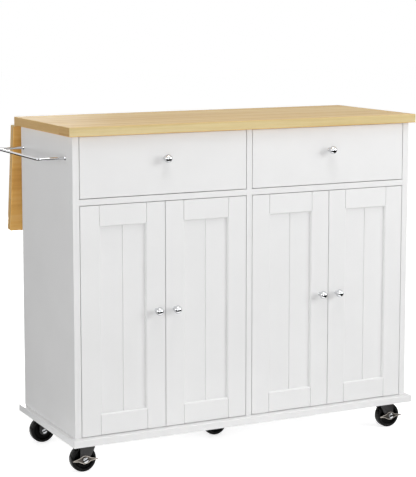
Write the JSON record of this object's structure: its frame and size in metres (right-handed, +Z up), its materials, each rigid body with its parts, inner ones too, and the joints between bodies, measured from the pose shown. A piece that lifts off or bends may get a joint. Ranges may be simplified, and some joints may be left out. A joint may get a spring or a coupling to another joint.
{
  "type": "kitchen island cart",
  "caption": "White kitchen island on casters with an oak worktop, drop leaf, drawers, panelled doors, inner shelves and a towel rail.",
  "frame": {"origin": "on the floor, under the middle of the cart's bounding box with the leaf hanging", "axes": "+Z up; +X along the length, towards the end without the towel rail; the doors and drawers face -Y and the drop leaf hangs at +Y"},
  "size_m": [1.1096, 0.4974, 0.91],
  "materials": {
    "oak": "clear satin lacquer, straight light grain",
    "chrome": "polished",
    "zinc": "bright zinc plate",
    "black_steel": "semi-gloss black",
    "white_wood": "satin white lacquer",
    "black_rubber": "matt moulded",
    "white_plastic": "moulded",
    "caged_balls": "bright"
  },
  "bodies": {
    "cabinet": {"base_board": "white_wood", "left_side": "white_wood", "right_side": "white_wood", "centre_divider": "white_wood", "back_panels": "white_wood", "rear_rails": "white_wood", "front_rails": "white_wood", "shelves": "white_wood", "shelf_pins": "zinc", "worktop": "oak", "towel_rail": "chrome", "screw_caps": "white_plastic", "slide_channels": "zinc", "hinge_arms": "zinc", "caster_plates": "black_steel", "leaf_hinge_plates": "zinc", "strut_plates": "zinc"},
    "drawer_left": {"drawer_left_front": "white_wood", "drawer_left_box": "white_wood", "drawer_left_runners": "zinc", "drawer_left_knob": "chrome"},
    "ball_cages_left": {"ball_cages_left": "caged_balls"},
    "drawer_right": {"drawer_right_front": "white_wood", "drawer_right_box": "white_wood", "drawer_right_runners": "zinc", "drawer_right_knob": "chrome"},
    "ball_cages_right": {"ball_cages_right": "caged_balls"},
    "door_1": {"door_1_frame": "white_wood", "door_1_panel": "white_wood", "door_1_knob": "chrome", "door_1_hinge_cups": "zinc"},
    "door_2": {"door_2_frame": "white_wood", "door_2_panel": "white_wood", "door_2_knob": "chrome", "door_2_hinge_cups": "zinc"},
    "door_3": {"door_3_frame": "white_wood", "door_3_panel": "white_wood", "door_3_knob": "chrome", "door_3_hinge_cups": "zinc"},
    "door_4": {"door_4_frame": "white_wood", "door_4_panel": "white_wood", "door_4_knob": "chrome", "door_4_hinge_cups": "zinc"},
    "leaf": {"leaf_board": "oak", "leaf_fittings": "zinc"},
    "leaf_strut_left": {"leaf_strut_left": "zinc"},
    "leaf_strut_right": {"leaf_strut_right": "zinc"},
    "caster_fl_fork": {"caster_fl_fork": "black_steel"},
    "caster_fl_wheel": {"caster_fl_wheel": "black_rubber"},
    "caster_fl_brake": {"caster_fl_brake": "zinc"},
    "caster_fr_fork": {"caster_fr_fork": "black_steel"},
    "caster_fr_wheel": {"caster_fr_wheel": "black_rubber"},
    "caster_fr_brake": {"caster_fr_brake": "zinc"},
    "caster_bl_fork": {"caster_bl_fork": "black_steel"},
    "caster_bl_wheel": {"caster_bl_wheel": "black_rubber"},
    "caster_br_fork": {"caster_br_fork": "black_steel"},
    "caster_br_wheel": {"caster_br_wheel": "black_rubber"},
    "caster_mid_fork": {"caster_mid_fork": "black_steel"},
    "caster_mid_wheel": {"caster_mid_wheel": "black_rubber"}
  },
  "joints": [
    {"name": "drawer_left_slide", "type": "slide", "parent": "cabinet", "child": "drawer_left", "axis": [0, -1, 0], "range_m": [0, 0.22]},
    {"name": "ball_cages_left_slide", "type": "slide", "parent": "cabinet", "child": "ball_cages_left", "axis": [0, -1, 0], "range_m": [0, 0.1105]},
    {"name": "drawer_right_slide", "type": "slide", "parent": "cabinet", "child": "drawer_right", "axis": [0, -1, 0], "range_m": [0, 0.22]},
    {"name": "ball_cages_right_slide", "type": "slide", "parent": "cabinet", "child": "ball_cages_right", "axis": [0, -1, 0], "range_m": [0, 0.1105]},
    {"name": "door_1_hinge", "type": "hinge", "parent": "cabinet", "child": "door_1", "pos_m": [-0.4574, -0.21823, 0.4037], "axis": [0, 0, -1], "range_deg": [0, 105]},
    {"name": "door_2_hinge", "type": "hinge", "parent": "cabinet", "child": "door_2", "pos_m": [0.0239, -0.21823, 0.4037], "axis": [0, 0, 1], "range_deg": [0, 84]},
    {"name": "door_3_hinge", "type": "hinge", "parent": "cabinet", "child": "door_3", "pos_m": [0.0416, -0.21823, 0.4037], "axis": [0, 0, -1], "range_deg": [0, 84]},
    {"name": "door_4_hinge", "type": "hinge", "parent": "cabinet", "child": "door_4", "pos_m": [0.5229, -0.21823, 0.4037], "axis": [0, 0, 1], "range_deg": [0, 105]},
    {"name": "leaf_hinge", "type": "hinge", "parent": "cabinet", "child": "leaf", "pos_m": [0.03275, 0.18027, 0.883], "axis": [1, 0, 0], "range_deg": [0, 82]},
    {"name": "leaf_strut_left_pivot", "type": "hinge", "parent": "cabinet", "child": "leaf_strut_left", "pos_m": [-0.22175, 0.17077, 0.777], "axis": [1, 0, 0], "range_deg": [0, 109.08]},
    {"name": "leaf_strut_right_pivot", "type": "hinge", "parent": "cabinet", "child": "leaf_strut_right", "pos_m": [0.28725, 0.17077, 0.777], "axis": [1, 0, 0], "range_deg": [0, 109.08]},
    {"name": "caster_fl_swivel", "type": "hinge", "parent": "cabinet", "child": "caster_fl_fork", "pos_m": [-0.43125, -0.18023, 0.076], "axis": [0, 0, 1], "continuous": true},
    {"name": "caster_fl_roll", "type": "hinge", "parent": "caster_fl_fork", "child": "caster_fl_wheel", "pos_m": [-0.44175, -0.18023, 0.035], "axis": [0, 1, 0], "continuous": true},
    {"name": "caster_fl_brake_rock", "type": "hinge", "parent": "caster_fl_fork", "child": "caster_fl_brake", "pos_m": [-0.44175, -0.20023, 0.035], "axis": [0, 1, 0], "range_deg": [-15, 15]},
    {"name": "caster_fr_swivel", "type": "hinge", "parent": "cabinet", "child": "caster_fr_fork", "pos_m": [0.49675, -0.18023, 0.076], "axis": [0, 0, 1], "continuous": true},
    {"name": "caster_fr_roll", "type": "hinge", "parent": "caster_fr_fork", "child": "caster_fr_wheel", "pos_m": [0.50725, -0.18023, 0.035], "axis": [0, 1, 0], "continuous": true},
    {"name": "caster_fr_brake_rock", "type": "hinge", "parent": "caster_fr_fork", "child": "caster_fr_brake", "pos_m": [0.50725, -0.20023, 0.035], "axis": [0, 1, 0], "range_deg": [-15, 15]},
    {"name": "caster_bl_swivel", "type": "hinge", "parent": "cabinet", "child": "caster_bl_fork", "pos_m": [-0.43125, 0.12177, 0.076], "axis": [0, 0, 1], "continuous": true},
    {"name": "caster_bl_roll", "type": "hinge", "parent": "caster_bl_fork", "child": "caster_bl_wheel", "pos_m": [-0.44175, 0.12177, 0.035], "axis": [0, 1, 0], "continuous": true},
    {"name": "caster_br_swivel", "type": "hinge", "parent": "cabinet", "child": "caster_br_fork", "pos_m": [0.49675, 0.12177, 0.076], "axis": [0, 0, 1], "continuous": true},
    {"name": "caster_br_roll", "type": "hinge", "parent": "caster_br_fork", "child": "caster_br_wheel", "pos_m": [0.50725, 0.12177, 0.035], "axis": [0, 1, 0], "continuous": true},
    {"name": "caster_mid_swivel", "type": "hinge", "parent": "cabinet", "child": "caster_mid_fork", "pos_m": [0.03275, -0.02923, 0.076], "axis": [0, 0, 1], "continuous": true},
    {"name": "caster_mid_roll", "type": "hinge", "parent": "caster_mid_fork", "child": "caster_mid_wheel", "pos_m": [0.02225, -0.02923, 0.035], "axis": [0, 1, 0], "continuous": true}
  ],
  "couplings": [
    {"joint": "ball_cages_left_slide", "follows": "drawer_left_slide", "ratio": 0.5},
    {"joint": "ball_cages_right_slide", "follows": "drawer_right_slide", "ratio": 0.5},
    {"joint": "leaf_strut_left_pivot", "follows": "leaf_hinge", "ratio": 1.3296},
    {"joint": "leaf_strut_right_pivot", "follows": "leaf_hinge", "ratio": 1.3296}
  ]
}
